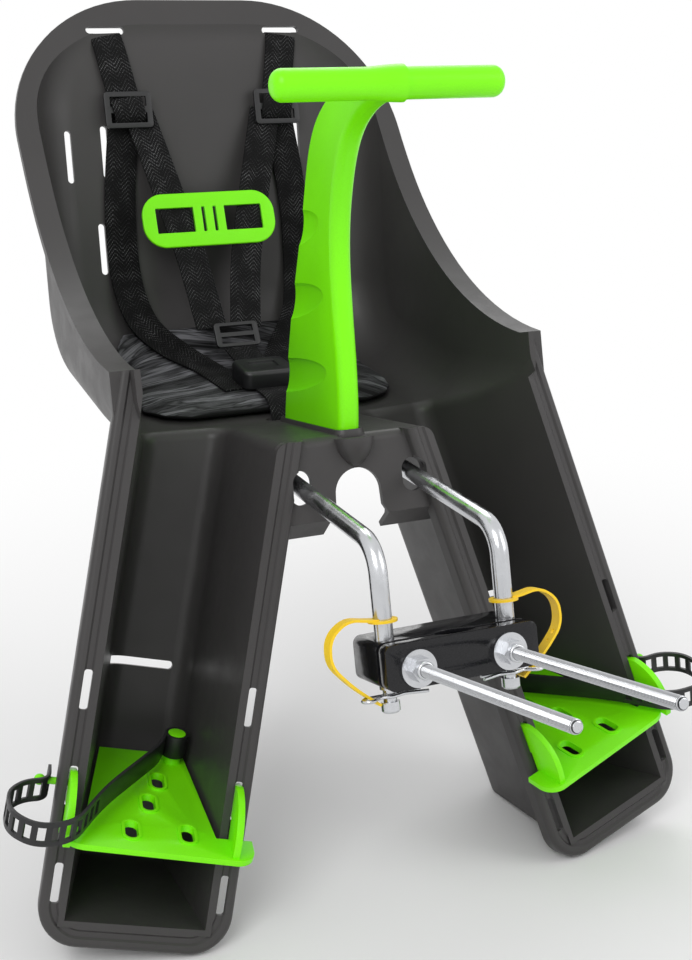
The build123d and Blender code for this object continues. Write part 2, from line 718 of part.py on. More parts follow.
# T-bar grip: curved stem with finger hollows, cross bar and tenon.
with BuildPart() as t_handle:
    with BuildSketch(Plane.YZ):
        with BuildLine():
            rear = Spline((stem_rear, tongue_z(stem_rear) + 0.2), (206, 224), (168, 287), (138, 332),
                          (98, grip_z + 11.5), (grip_y, grip_z + grip_radius))
            front = Spline((stem_front, tongue_z(stem_front) + 0.2), (127, 219), (120, 261), (107, 291),
                           (88, 315), (60, 327.5), (grip_y, grip_z - grip_radius))
            Line(rear @ 0, front @ 0)
            Line(rear @ 1, front @ 1)
        make_face()
    extrude(amount=stem_half, both=True)
    fillet(t_handle.faces().filter_by(Axis.X).edges().filter_by(GeomType.BSPLINE), radius=stem_round)
    # Long finger hollows, deepest at the stem's rear edge.
    ball = Sphere(1, mode=Mode.PRIVATE)
    for y, z, tip in ((188, 272, 140), (208, 224, 145), (230, 173, 152)):
        hollow = scale(ball, by=(scoop_sink, y - tip, scoop_high), mode=Mode.PRIVATE)
        with Locations((-stem_half, y, z), (stem_half, y, z)):
            add(hollow, mode=Mode.SUBTRACT)
    with BuildSketch(Plane.YZ):
        with Locations((grip_y, grip_z)):
            Circle(grip_radius)
    extrude(amount=grip_half, both=True)
    # Swelling of the bar over the stem, up to a moulded seam.
    bar_axis = Axis((0, grip_y, grip_z), (1, 0, 0))
    with BuildSketch(Plane(origin=(0, grip_y, grip_z), x_dir=(1, 0, 0), z_dir=(0, -1, 0))):
        with BuildLine():
            swell = Spline((-hub_left, grip_radius - fit), (hub_right, hub_radius),
                           tangents=((1, 0), (1, 0)))
            Polyline(swell @ 1, (hub_right, 0), (-hub_left, 0), swell @ 0)
        make_face()
    revolve(axis=bar_axis)
    fillet(t_handle.edges().filter_by(GeomType.CIRCLE).group_by(Axis.X)[0], radius=0.7 * grip_radius)
    fillet(t_handle.edges().filter_by(GeomType.CIRCLE).group_by(Axis.X)[-1], radius=0.7 * grip_radius)
    with BuildSketch(Plane.XY.offset(tongue_z(stem_front) - tenon_deep + wall)):
        with Locations((0, (stem_front + stem_rear) / 2)):
            Rectangle(2 * (stem_half - tenon_inset), stem_rear - stem_front - 2 * tenon_inset)
    extrude(amount=tenon_deep + wall)

# Seat pad: an even layer on the pan that turns up against the back.
with BuildPart() as seat_pad:
    with BuildSketch(Plane.YZ):
        add(side_profile(-pad_gap))
        add(side_profile(-pad_gap - pad_thick), mode=Mode.SUBTRACT)
    extrude(amount=pad_half, both=True)
    with BuildSketch(Plane.XY.offset(tongue_front[1])):
        with Locations((0, (pad_front + pad_back) / 2)):
            RectangleRounded(2 * pad_half, pad_back - pad_front, pad_corner)
    extrude(amount=90, mode=Mode.INTERSECT)

# Footrest: plate with four holes, fins for the rim's slots, a peg and a strap hook.
with BuildPart() as footrest:
    plane = rest_plane()
    leg = leg_plane()
    inside = leg_half - rest_gap
    narrow = inside - rest_depth * cos(radians(rest_tilt)) * (leg_half - leg_back_half) / leg_depth
    with BuildSketch(plane):
        with BuildLine():
            FilletPolyline((-rest_inner, -3), (-rest_inner, -rest_lip), (rest_outer, -0.8 * rest_lip),
                           (rest_outer, -3), radius=(12, 17))
            Polyline((rest_outer, -3), (inside, -3), (narrow, rest_depth), (-narrow, rest_depth),
                     (-inside, -3), (-rest_inner, -3))
        make_face()
    extrude(amount=-rest_thick)
    holes = [(-24, -2), (12, -2), (-1, 31), (-9, 59)]
    with BuildSketch(plane):
        with Locations(*holes):
            SlotOverall(rest_hole + 4, 0.45 * rest_hole + 4, rotation=90)
    extrude(amount=rest_bead)
    with BuildSketch(plane.offset(rest_bead)):
        with Locations(*holes):
            SlotOverall(rest_hole, 0.45 * rest_hole, rotation=90)
    extrude(amount=-rest_thick - rest_bead, mode=Mode.SUBTRACT)
    rest_u = slot_first + rest_slot * slot_pitch + slot_length + rest_drop
    slot_top = slot_first + rest_slot * slot_pitch + 2.5
    slope = sin(radians(rest_tilt)) / cos(radians(rest_tilt))
    for side in (-1, 1):
        v = leg_mid + side * (leg_half + slot_inset)
        fin_plane = Plane(origin=leg.from_local_coords(Vector(v - fin_thick / 2, 0, 0)), x_dir=leg.z_dir,
                          z_dir=leg.x_dir)
        with BuildSketch(fin_plane):
            with BuildLine():
                toe = (leg_mouth - rest_lip + 5, -rest_u - (rest_lip - 5) * slope - 2)
                brow = (leg_mouth - 3, -slot_top)
                ThreePointArc(toe, (leg_mouth - 0.62 * rest_lip, -slot_top - 9), brow)
                Polyline(brow, (leg_mouth + 9, -slot_top), (leg_mouth + 9, -slot_top - slot_length + 5),
                         (leg_mouth - 0.5, -slot_top - slot_length + 5), (leg_mouth - 0.5, -rest_u - 2), toe)
            make_face()
        extrude(amount=fin_thick)
    peg = (-narrow + peg_radius + 2, rest_depth - 1.6 * peg_radius)
    with BuildSketch(plane.offset(-rest_thick)):
        with Locations(peg):
            Circle(peg_radius)
    extrude(amount=rest_thick + ladder + 6)
    # Hook behind the rim's outer lip.
    hook_u = slot_top + slot_length / 2 - 2
    hook_w = leg_mouth + lip + hook_radius + 1
    outer_fin = leg_mid + leg_half + slot_inset
    with BuildSketch(leg.offset(leg_mouth - 2)):
        with Locations((outer_fin, hook_u)):
            Rectangle(fin_thick, 2 * hook_radius)
    extrude(amount=hook_w - leg_mouth + 2 + hook_radius)
    hook_plane = Plane(origin=leg.from_local_coords(Vector(outer_fin, hook_u, hook_w)), z_dir=leg.x_dir)
    with BuildSketch(hook_plane):
        Circle(hook_radius)
    extrude(amount=hook_reach)
    with Locations(hook_plane.offset(hook_reach)):
        Sphere(1.5 * hook_radius)

# Ladder strap of a footrest, from the peg round the front to the hook.
with BuildPart() as foot_strap:
    eye = peg_radius + fit + ladder_thick / 2
    hung = leg_half + slot_inset + 0.7 * hook_reach
    points = [(peg[0] + eye, peg[1]), (peg[0] + eye + 5, peg[1] - 16), (31, 12), (50, -30), (73, -39),
              (90, -26), (92, -4), (82, 10), (hung, 15), (hung, 31)]
    with BuildSketch(plane.offset(6)):
        with BuildLine() as strap_line:
            soft_route(points)
        trace(line_width=ladder_thick)
        with Locations(peg):
            Circle(eye + ladder_thick / 2)
            Circle(eye - ladder_thick / 2, mode=Mode.SUBTRACT)
    extrude(amount=ladder)
    for i in range(rung_count):
        share = rung_first + i * (0.985 - rung_first) / rung_count
        spot = plane.offset(6 + ladder / 2).from_local_coords(strap_line.line @ share)
        along = plane.x_dir * (strap_line.line % share).X + plane.y_dir * (strap_line.line % share).Y
        with BuildSketch(Plane(origin=spot, x_dir=along, z_dir=along.cross(plane.z_dir))):
            Rectangle(rung_open, 0.62 * ladder)
        extrude(amount=2 * ladder_thick, both=True, mode=Mode.SUBTRACT)
    with BuildSketch(hook_plane):
        Circle(hook_radius + fit)
    extrude(amount=hook_reach, mode=Mode.SUBTRACT)

# Harness: shoulder, chest and lap webbing of one side.
with BuildPart() as shoulder_strap:
    slot_seat = shoulder_z - harness_slot / 2 + fit + webbing_thick / 2
    add(flat_run((shoulder_x, back_y(slot_seat) + 8, slot_seat + 0.5),
                 (shoulder_x, back_y(slot_seat) - 3, slot_seat)))
    add(flat_run((shoulder_x, back_y(slot_seat) - 3, slot_seat),
                 (63, back_y(slider_z + 2) - 5, slider_z + 2)))

with BuildPart() as lap_strap:
    points = [(64, back_y(slider_z - 2) - 2, slider_z - 2), (73, back_y(325) - 3, 325),
              (74, back_y(262) - 3, 262), (66, 384, 222), (48, 368, 200), (32, 350, 187), (23, 292, 165.6)]
    for start, end in zip(points, points[1:]):
        add(flat_run(start, end))


def chest_y(z):
    """Depth of the chest webbing's middle at height z, between the slider and its bend."""
    top = slider_z - 2
    return chest_bend[0] + (z - chest_bend[1]) * (back_y(top) - 5 - chest_bend[0]) / (top - chest_bend[1])


def chest_strap(side):
    """Webbing from a shoulder slider through the chest clip to the middle slider."""
    points = [(53 * side, chest_y(slider_z - 2), slider_z - 2), (22 * side + chest_shift / 2, *chest_bend),
              (14 * side + chest_shift, 345, 214)]
    with BuildPart() as strap:
        for start, end in zip(points, points[1:]):
            add(flat_run(start, end))
    return strap.part


def slide(plane, width, height):
    """Three-bar strap slide on the given plane, with two windows."""
    with BuildPart() as frame:
        with BuildSketch(plane):
            RectangleRounded(width, height, 3)
            with GridLocations(0, height * 0.45, 1, 2):
                Rectangle(width - 9, height * 0.28, mode=Mode.SUBTRACT)
        extrude(amount=slider_thick)
    return frame.part


slider_plane = front_plane(chest_y(slider_z - slider_high / 2) - webbing_thick / 2 - fit).shift_origin(
    (62, chest_y(slider_z - slider_high / 2) - webbing_thick / 2 - fit, slider_z))
middle_plane = Plane(origin=(chest_shift / 2, 341, 207), x_dir=(1, 0, 0), z_dir=(0, -1, 0.33))

# Chest clip: rounded plate with two windows, each with a tab for the webbing.
with BuildPart() as chest_clip:
    chest_rise = chest_y(chest_z + 1) - chest_y(chest_z)
    chest_face = Plane(origin=(chest_shift, chest_y(chest_z) - webbing_thick / 2 - fit, chest_z),
                       x_dir=(1, 0, 0), z_dir=(0, -1, chest_rise))
    with BuildSketch(chest_face):
        RectangleRounded(chest_wide, chest_high, 0.42 * chest_high)
        with GridLocations(0.43 * chest_wide, 0, 2, 1):
            Rectangle(0.37 * chest_wide, 0.46 * chest_high, mode=Mode.SUBTRACT)
        with GridLocations(0.172 * chest_wide, 0, 2, 1):
            Rectangle(0.06 * chest_wide, 0.5 * chest_high)
    extrude(amount=chest_thick)
    fillet(chest_clip.faces().sort_by(Axis.Y)[0].outer_wire().edges(), radius=0.4 * chest_thick)

# Buckle lying on the pad over the two lap straps' ends, its two straps.
with BuildPart() as buckle:
    with BuildSketch(pan_plane(52, pad_gap + pad_thick + webbing_thick + 6 * fit)):
        RectangleRounded(buckle_wide, buckle_long, 7)
    extrude(amount=buckle_thick)
    fillet(buckle.faces().sort_by(Axis((0, 0, 0), pan_plane(0, 0).z_dir))[-1].edges(), radius=3)
    with BuildSketch(pan_plane(52, pad_gap + pad_thick + webbing_thick + 6 * fit + buckle_thick)):
        RectangleRounded(0.5 * buckle_wide, 0.42 * buckle_long, 3)
    extrude(amount=-1.2, mode=Mode.SUBTRACT)

with BuildPart() as middle_strap:
    add(flat_run((chest_shift / 2, 336.6, 196.8), (0, 315.6, 182.4)))

with BuildPart() as crotch_strap:
    add(flat_run((0, 285, 163.6), (0, crotch_y + 5, 156.5)))
    add(flat_run((0, crotch_y + 5, 156.5), (0, crotch_y - 2, 132)))

singles = {
    "seat_shell": seat_shell.part,
    "support_bar": support_bar.part,
    "rear_bracket": rear_bracket.part,
    "clamp_plate": clamp_plate.part,
    "t_handle": t_handle.part,
    "seat_pad": seat_pad.part,
    "chest_clip": chest_clip.part,
    "buckle": buckle.part,
    "middle_slider": slide(middle_plane, 36, 20),
    "middle_strap": middle_strap.part,
    "crotch_strap": crotch_strap.part,
    "chest_strap_right": chest_strap(1),
    "chest_strap_left": chest_strap(-1),
}
pairs = {
    "bar_clip": bar_clip.part,
    "clip_screw_inner": clip_screw(rod_half - screw_at),
    "clip_screw_outer": clip_screw(rod_half + screw_at),
    "clamp_bolt": clamp_bolt.part,
    "clamp_washer": clamp_washer.part,
    "clamp_nut": clamp_nut.part,
    "spring_clip": spring_clip.part,
    "clip_tether": clip_tether.part,
    "footrest": footrest.part,
    "foot_strap": foot_strap.part,
    "shoulder_strap": shoulder_strap.part,
    "strap_slider": slide(slider_plane, slider_wide, slider_high),
    "lap_strap": lap_strap.part,
}
nodes = dict(singles)
for name, piece in pairs.items():
    nodes[f"{name}_right"] = piece
    nodes[f"{name}_left"] = mirrored(piece)

os.makedirs("parts", exist_ok=True)
for node, piece in nodes.items():
    with BuildPart() as leaned:
        add(piece, rotation=(-lean, 0, 0))
    leaned.part.label = node
    export_step(leaned.part, f"parts/{node}.step")
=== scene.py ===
"""Looks of the front-mounted child's bicycle seat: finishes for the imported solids, and the
padded seat cover, harness webbing and threaded studs that stand for their plain solids."""
import math

import bmesh
import bpy
from bpy.props import FloatProperty, FloatVectorProperty, IntProperty, PointerProperty
from mathutils import Matrix, Vector


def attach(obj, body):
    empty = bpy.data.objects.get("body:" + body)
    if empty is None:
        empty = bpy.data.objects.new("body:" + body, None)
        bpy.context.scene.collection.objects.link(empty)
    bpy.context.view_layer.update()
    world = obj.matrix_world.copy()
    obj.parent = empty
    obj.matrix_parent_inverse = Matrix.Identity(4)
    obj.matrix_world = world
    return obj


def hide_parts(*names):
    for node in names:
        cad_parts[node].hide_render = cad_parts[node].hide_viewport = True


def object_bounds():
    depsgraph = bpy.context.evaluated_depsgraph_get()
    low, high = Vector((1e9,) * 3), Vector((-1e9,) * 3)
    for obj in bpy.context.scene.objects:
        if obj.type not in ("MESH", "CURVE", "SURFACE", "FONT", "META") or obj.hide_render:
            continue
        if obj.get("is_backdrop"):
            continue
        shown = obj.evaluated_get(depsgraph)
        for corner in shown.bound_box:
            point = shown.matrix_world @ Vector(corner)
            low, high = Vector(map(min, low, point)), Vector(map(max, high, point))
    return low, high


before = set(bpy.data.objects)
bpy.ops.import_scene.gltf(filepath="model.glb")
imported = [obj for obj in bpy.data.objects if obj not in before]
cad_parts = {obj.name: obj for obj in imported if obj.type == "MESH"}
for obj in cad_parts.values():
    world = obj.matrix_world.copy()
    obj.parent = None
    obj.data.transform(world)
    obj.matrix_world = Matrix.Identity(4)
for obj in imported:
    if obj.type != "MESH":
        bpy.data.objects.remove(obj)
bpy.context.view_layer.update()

bl_info = {
    "name": "Front child bicycle seat",
    "version": (1, 0, 0),
    "blender": (4, 5, 0),
    "location": "View3D > Sidebar > Seat",
    "description": "Dresses the packed seat with its finishes, padding, webbing, studs and stage",
    "category": "Object",
}


class SeatSizes(bpy.types.PropertyGroup):
    """Sizes of the pieces that are modelled here."""

    lean: FloatProperty(
        name="Lean", description="Lean of the head tube that carries the seat",
        default=math.radians(14.0), subtype="ANGLE")
    webbing_width: FloatProperty(
        name="Webbing width", description="Width of the harness webbing",
        default=0.025, unit="LENGTH")
    webbing_thick: FloatProperty(
        name="Webbing thickness", description="Thickness of the harness webbing",
        default=0.0016, unit="LENGTH")
    stud_radius: FloatProperty(
        name="Stud radius", description="Outside radius of the clamp bolts' thread",
        default=0.0039, unit="LENGTH")
    thread_pitch: FloatProperty(
        name="Thread pitch", description="Distance between two turns of the studs' thread",
        default=0.00125, unit="LENGTH")
    thread_depth: FloatProperty(
        name="Thread depth", description="Depth of the studs' thread",
        default=0.00065, unit="LENGTH")
    shell_edge: FloatProperty(
        name="Shell edge", description="Rounding of the shell's edges",
        default=0.0014, unit="LENGTH")
    lime_edge: FloatProperty(
        name="Lime edge", description="Rounding of the footrests' and the chest clip's edges",
        default=0.0006, unit="LENGTH")
    pressing_edge: FloatProperty(
        name="Pressing edge", description="Rounding of the clamp pressings' edges",
        default=0.0007, unit="LENGTH")
    fitting_edge: FloatProperty(
        name="Fitting edge", description="Rounding of the sliders', buckle's and foot straps' edges",
        default=0.0004, unit="LENGTH")
    pad_shrink: FloatProperty(
        name="Pad shrink", description="How far the pad is drawn in before it is blown up",
        default=0.0016, unit="LENGTH")
    pad_rise: FloatProperty(
        name="Pad rise", description="How far a point of the pad's cover may move when it is blown up",
        default=0.0022, unit="LENGTH")
    pad_cell: FloatProperty(
        name="Pad cell", description="Mesh size of the pad's cover",
        default=0.0042, unit="LENGTH")
    pad_pressure: FloatProperty(
        name="Pad pressure", description="Pressure that blows up the pad's cover",
        default=4.0, min=0.0)
    pad_frames: IntProperty(
        name="Pad frames", description="Length of the cover's cloth run",
        default=20, min=2)


class SeatColours(bpy.types.PropertyGroup):
    """Colours of the seat's finishes."""

    shell: FloatVectorProperty(
        name="Shell", description="Moulded seat shell",
        default=(0.047, 0.0445, 0.0445), subtype="COLOR", min=0.0, max=1.0)
    lime: FloatVectorProperty(
        name="Lime", description="Grip, footrests and chest clip",
        default=(0.22, 0.94, 0.003), subtype="COLOR", min=0.0, max=1.0)
    zinc: FloatVectorProperty(
        name="Zinc", description="Bright zinc of the carrier bar and the fasteners",
        default=(0.58, 0.59, 0.61), subtype="COLOR", min=0.0, max=1.0)
    paint: FloatVectorProperty(
        name="Paint", description="Gloss paint of the clamp pressings",
        default=(0.006, 0.006, 0.007), subtype="COLOR", min=0.0, max=1.0)
    yellow: FloatVectorProperty(
        name="Yellow", description="Elastic tethers of the spring clips",
        default=(1.0, 0.63, 0.008), subtype="COLOR", min=0.0, max=1.0)
    fittings: FloatVectorProperty(
        name="Fittings", description="Strap sliders, buckle and foot straps",
        default=(0.010, 0.010, 0.011), subtype="COLOR", min=0.0, max=1.0)
    webbing: FloatVectorProperty(
        name="Webbing", description="Ground colour of the harness webbing",
        default=(0.003, 0.003, 0.0032), subtype="COLOR", min=0.0, max=1.0)
    # Colour of the painted highlights along the webbing's yarns and ribs.
    yarn_highlight: FloatVectorProperty(
        name="Yarn", description="Lighter yarns of the webbing's weave",
        default=(0.34, 0.34, 0.35), subtype="COLOR", min=0.0, max=1.0)
    streak: FloatVectorProperty(
        name="Streak", description="Lightest streaks of the pad's cloth",
        default=(0.20, 0.20, 0.215), subtype="COLOR", min=0.0, max=1.0)
    floor: FloatVectorProperty(
        name="Floor", description="Studio floor",
        default=(0.90, 0.90, 0.90), subtype="COLOR", min=0.0, max=1.0)


class SeatStage(bpy.types.PropertyGroup):
    """Camera and lights of the studio."""

    eye: FloatVectorProperty(
        name="Eye", description="Place of the camera",
        default=(-0.3737, -0.68595, 0.36078), subtype="TRANSLATION", unit="LENGTH")
    azimuth: FloatProperty(
        name="Azimuth", description="Turn of the camera about the upright axis",
        default=math.radians(-23.59), subtype="ANGLE")
    elevation: FloatProperty(
        name="Elevation", description="Height angle of the camera",
        default=math.radians(17.76), subtype="ANGLE")
    lens: FloatProperty(name="Lens", description="Focal length in millimetres", default=54.54, min=10.0)
    shift: FloatProperty(
        name="Shift", description="Shift of the camera's picture, across and up",
        default=-0.0023)
    key_power: FloatProperty(
        name="Key light", description="Power of the broad light at the front left",
        default=34.0, min=0.0, unit="POWER")
    fill_power: FloatProperty(
        name="Fill light", description="Power of the light at the right",
        default=11.0, min=0.0, unit="POWER")
    back_power: FloatProperty(
        name="Back light", description="Power of the light behind and above",
        default=17.0, min=0.0, unit="POWER")
    floor_near: FloatProperty(
        name="Floor near", description="Distance where the floor starts to run out into white",
        default=0.35, unit="LENGTH")
    floor_far: FloatProperty(
        name="Floor far", description="Distance where the floor is all white",
        default=1.25, unit="LENGTH")
    room: FloatProperty(
        name="Room light", description="Strength of the even light from all round",
        default=0.57, min=0.0)


def rig(x, y, z):
    """Place in metres of a point given in millimetres, square to the clamp."""
    return way(x, y, z) / 1000.0


def way(x, y, z):
    """Direction given square to the clamp, leaned with the head tube."""
    lean = bpy.context.scene.seat_sizes.lean
    return Vector((x, y * math.cos(lean) + z * math.sin(lean), z * math.cos(lean) - y * math.sin(lean)))


def back_y(z):
    """Depth of the backrest's inside at height z, in millimetres."""
    return 404.0 - (z - 193.0) * 25.0 / 247.0


def wire(tree, kind, inputs=(), **settings):
    """Adds a shader node, sets it up, and fills or links its inputs."""
    made = tree.nodes.new(kind)
    for key, value in settings.items():
        setattr(made, key, value)
    for key, value in dict(inputs).items():
        if isinstance(value, bpy.types.NodeSocket):
            tree.links.new(value, made.inputs[key])
        else:
            made.inputs[key].default_value = value
    return made


def calc(tree, operation, first, second=0.0):
    """Result of one Math node."""
    return wire(tree, "ShaderNodeMath", {0: first, 1: second}, operation=operation).outputs[0]


def times(tree, value, factor):
    """Product of two values."""
    return calc(tree, "MULTIPLY", value, factor)


def noise(tree, place, scale, detail=2.0, roughness=0.5, distortion=0.0):
    """Value of a noise texture at a place."""
    return wire(tree, "ShaderNodeTexNoise", {
        "Vector": place, "Scale": scale, "Detail": detail, "Roughness": roughness,
        "Distortion": distortion}).outputs[0]


def spread(tree, value, low, high):
    """Value of 0.3 to 0.7 spread over a range."""
    return wire(tree, "ShaderNodeMapRange", {
        "Value": value, "From Min": 0.3, "From Max": 0.7, "To Min": low, "To Max": high}).outputs[0]


def ramp(tree, value, stops):
    """Colour looked up between stops of place and colour."""
    made = wire(tree, "ShaderNodeValToRGB", {"Fac": value})
    elements = made.color_ramp.elements
    while len(elements) < len(stops):
        elements.new(0.5)
    for element, (place, colour) in zip(elements, stops):
        element.position = place
        element.color = (*colour, 1.0)
    return made.outputs[0]


def shade(colour, factor):
    """A colour made lighter or darker."""
    return tuple(min(1.0, factor * channel) for channel in colour)


def start_finish(name):
    """New material: its node tree, its shader and its object coordinates."""
    material = bpy.data.materials.new(name)
    material.use_nodes = True
    tree = material.node_tree
    shader = tree.nodes["Principled BSDF"]
    place = wire(tree, "ShaderNodeTexCoord").outputs["Object"]
    return material, tree, shader, place


def set_shader(tree, shader, values):
    """Fills or links the shader's sockets."""
    for key, value in values.items():
        if isinstance(value, bpy.types.NodeSocket):
            tree.links.new(value, shader.inputs[key])
        else:
            shader.inputs[key].default_value = value


def bump(tree, height, depth, strength=1.0):
    """Normal of a relief of the given depth in metres."""
    return wire(tree, "ShaderNodeBump", {
        "Height": height, "Distance": depth, "Strength": strength}).outputs[0]


def moulded_finish(name, colour, grain, depth, gloss, specular=0.5, sheen=0.0):
    """Moulded plastic: a fine spark-eroded grain, a slow drift of tone, and handling haze."""
    material, tree, shader, place = start_finish(name)
    drift = noise(tree, place, 9.0, 3.0, 0.55)
    fine = noise(tree, place, grain, 2.0, 0.6)
    haze = noise(tree, place, 42.0, 4.0, 0.6, 0.4)
    mottle = calc(tree, "ADD", times(tree, drift, 0.75), times(tree, fine, 0.25))
    set_shader(tree, shader, {
        "Base Color": ramp(tree, mottle, [(0.3, shade(colour, 0.90)), (0.7, shade(colour, 1.10))]),
        "Roughness": spread(tree, haze, gloss - 0.05, gloss + 0.07),
        "Normal": bump(tree, fine, depth), "Specular IOR Level": specular, "Sheen Weight": sheen})
    return material


def zinc_finish(colour):
    """Bright zinc plate: slow patches of tone and gloss, and small scuffs."""
    material, tree, shader, place = start_finish("bright_zinc")
    patch = noise(tree, place, 60.0, 4.0, 0.6, 0.6)
    scuff = noise(tree, place, 900.0, 3.0, 0.7)
    tone = ramp(tree, patch, [(0.3, shade(colour, 0.90)), (0.55, colour), (0.75, shade(colour, 1.08))])
    set_shader(tree, shader, {
        "Base Color": tone, "Metallic": 1.0, "Roughness": spread(tree, patch, 0.15, 0.30),
        "Normal": bump(tree, scuff, 0.00003, 0.6)})
    return material


def thread_finish(colour):
    """Rolled thread in zinc, with painted shade darkening its roots, from the depth that the mesh keeps."""
    material, tree, shader, place = start_finish("rolled_thread")
    crest = wire(tree, "ShaderNodeAttribute", attribute_name="crest").outputs["Fac"]
    patch = noise(tree, place, 60.0, 4.0, 0.6, 0.6)
    set_shader(tree, shader, {
        # Painted shade: the ramp draws the thread's roots near black and its crests in plain zinc.
        "Base Color": ramp(tree, crest, [(0.25, shade(colour, 0.06)), (0.9, colour)]), "Metallic": 1.0,
        "Roughness": spread(tree, patch, 0.18, 0.32)})
    return material


def paint_finish(colour):
    """Gloss stoved paint with the slight orange peel of a pressing."""
    material, tree, shader, place = start_finish("gloss_paint")
    peel = noise(tree, place, 260.0, 2.0, 0.4)
    dust = noise(tree, place, 1500.0, 2.0, 0.7)
    set_shader(tree, shader, {
        "Base Color": ramp(tree, dust, [(0.35, colour), (0.8, shade(colour, 2.4))]),
        "Roughness": spread(tree, peel, 0.10, 0.20), "Normal": bump(tree, peel, 0.00006, 0.5),
        "Specular IOR Level": 0.3, "Coat Weight": 0.08, "Coat Roughness": 0.06})
    return material


def webbing_finish(ground, yarn_highlight):
    """Woven strap: four lanes of slanted ribs that turn at each lane, with painted highlights on the yarns
    over a dark ground.
    """
    lanes, yarns = 4.0, 24.0    # across the strap
    ribs, slope = 300.0, 2.2    # per metre along the strap, and per lane
    material, tree, shader, place = start_finish("harness_webbing")
    uv = wire(tree, "ShaderNodeUVMap", uv_map="weave").outputs[0]
    across, along = wire(tree, "ShaderNodeSeparateXYZ", {0: uv}).outputs[:2]
    lane = calc(tree, "PINGPONG", times(tree, across, lanes), 1.0)
    slant = calc(tree, "ADD", times(tree, along, ribs), times(tree, lane, slope))
    rib = times(tree, calc(tree, "PINGPONG", slant, 0.5), 2.0)
    thread = times(tree, calc(tree, "PINGPONG", times(tree, across, yarns), 0.5), 2.0)
    fluff = noise(tree, place, 2600.0, 2.0, 0.7)
    patch = noise(tree, place, 70.0, 3.0, 0.6)
    # Painted highlight: the tops of the ribs and yarns drawn light, broken up by patches and fluff.
    highlight_catch = times(tree, times(tree, rib, thread), spread(tree, patch, 0.35, 1.2))
    lit = times(tree, highlight_catch, spread(tree, fluff, 0.3, 1.3))
    height = calc(tree, "ADD", rib, times(tree, thread, 0.5))
    set_shader(tree, shader, {
        "Base Color": ramp(tree, lit, [(0.30, ground), (0.62, shade(yarn_highlight, 0.25)), (0.95, yarn_highlight)]),
        "Roughness": spread(tree, fluff, 0.62, 0.86), "Normal": bump(tree, height, 0.00035, 0.8),
        "Specular IOR Level": 0.15, "Sheen Weight": 0.02, "Sheen Roughness": 0.4})
    return material


def pad_finish(streak):
    """Cover cloth of the pad: brushed grey streaks on black over a fine plain weave."""
    black = (0.0035, 0.0035, 0.004)
    material, tree, shader, place = start_finish("streaked_cloth")
    x, y = wire(tree, "ShaderNodeSeparateXYZ", {0: place}).outputs[:2]
    bend = noise(tree, place, 7.0, 1.0, 0.5)
    deep = calc(tree, "ADD", times(tree, y, 78.0), times(tree, bend, 6.0))
    slip = calc(tree, "ADD", deep, times(tree, x, 9.0))
    brushed = wire(tree, "ShaderNodeCombineXYZ", {0: times(tree, x, 7.0), 1: slip, 2: 0.0}).outputs[0]
    stroke = noise(tree, brushed, 1.0, 5.0, 0.52, 0.35)
    streaks = ramp(tree, stroke, [
        (0.40, black), (0.45, shade(streak, 0.25)), (0.48, black), (0.52, shade(streak, 0.45)),
        (0.55, shade(streak, 0.06)), (0.59, streak), (0.63, shade(streak, 0.10)),
        (0.69, shade(streak, 0.65))])
    # The cloth turns plain black where it stops facing upward: partly the cover's dark sides, partly painted
    # shade on the pad's sides.
    facing = wire(tree, "ShaderNodeSeparateXYZ", {
        0: wire(tree, "ShaderNodeTexCoord").outputs["Normal"]}).outputs[2]
    upward = wire(tree, "ShaderNodeMapRange", {
        "Value": facing, "From Min": 0.45, "From Max": 0.72, "To Min": 0.0, "To Max": 1.0}).outputs[0]
    cloth = wire(tree, "ShaderNodeMix", {
        0: upward, 6: (*black, 1.0), 7: streaks}, data_type="RGBA").outputs[2]
    warp, weft = (wire(tree, "ShaderNodeTexWave", {"Vector": place, "Scale": 420.0},
                       bands_direction=direction).outputs[1] for direction in "XY")
    set_shader(tree, shader, {
        "Base Color": cloth, "Roughness": spread(tree, stroke, 0.72, 0.58),
        "Normal": bump(tree, times(tree, warp, weft), 0.00018, 0.5), "Specular IOR Level": 0.15,
        "Sheen Weight": 0.03, "Sheen Roughness": 0.5})
    return material


def floor_finish(colour, near, far):
    """Matt pale floor that runs out into the white room with its distance from the seat."""
    material, tree, shader, place = start_finish("pale_floor")
    set_shader(tree, shader, {"Base Color": (*colour, 1.0), "Roughness": 0.9, "Specular IOR Level": 0.0})
    reach = wire(tree, "ShaderNodeVectorMath", {0: place}, operation="LENGTH").outputs["Value"]
    away = wire(tree, "ShaderNodeMapRange", {
        "Value": reach, "From Min": near, "From Max": far}, interpolation_type="SMOOTHSTEP").outputs[0]
    white = wire(tree, "ShaderNodeEmission", {"Color": (1.0, 1.0, 1.0, 1.0), "Strength": 1.0})
    mixed = wire(tree, "ShaderNodeMixShader", {0: away, 1: shader.outputs[0], 2: white.outputs[0]})
    tree.links.new(mixed.outputs[0], tree.nodes["Material Output"].inputs["Surface"])
    return material


SHARP = math.radians(32.0)


